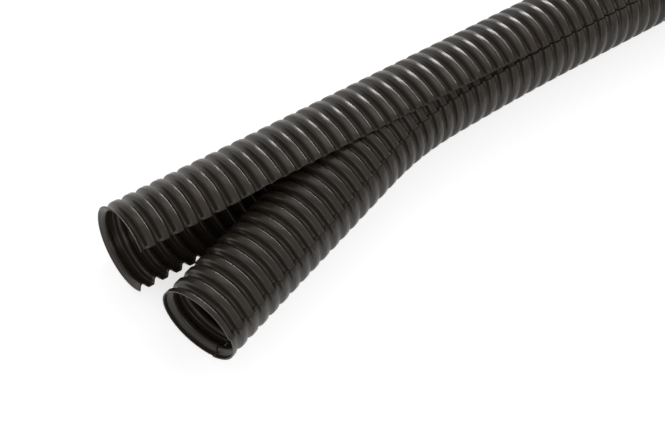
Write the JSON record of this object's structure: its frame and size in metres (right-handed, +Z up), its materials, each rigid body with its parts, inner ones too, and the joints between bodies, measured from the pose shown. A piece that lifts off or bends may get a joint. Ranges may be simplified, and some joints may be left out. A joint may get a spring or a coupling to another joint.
{
  "type": "two-part corrugated cable conduit",
  "caption": "Black corrugated cable conduit in two parts: a slotted outer shell and a slit inner shell, pulled apart at one end.",
  "frame": {"origin": "on the floor under the middle of the part's overall length and width", "axes": "+X along the conduit from its pulled-apart end to its joined end, +Z up, the slot opens towards -Y"},
  "size_m": [1, 0.1139, 0.0584],
  "materials": {
    "black_pp": "satin black polypropylene"
  },
  "bodies": {
    "root": {"outer_shell": "black_pp", "inner_shell": "black_pp"}
  },
  "joints": []
}
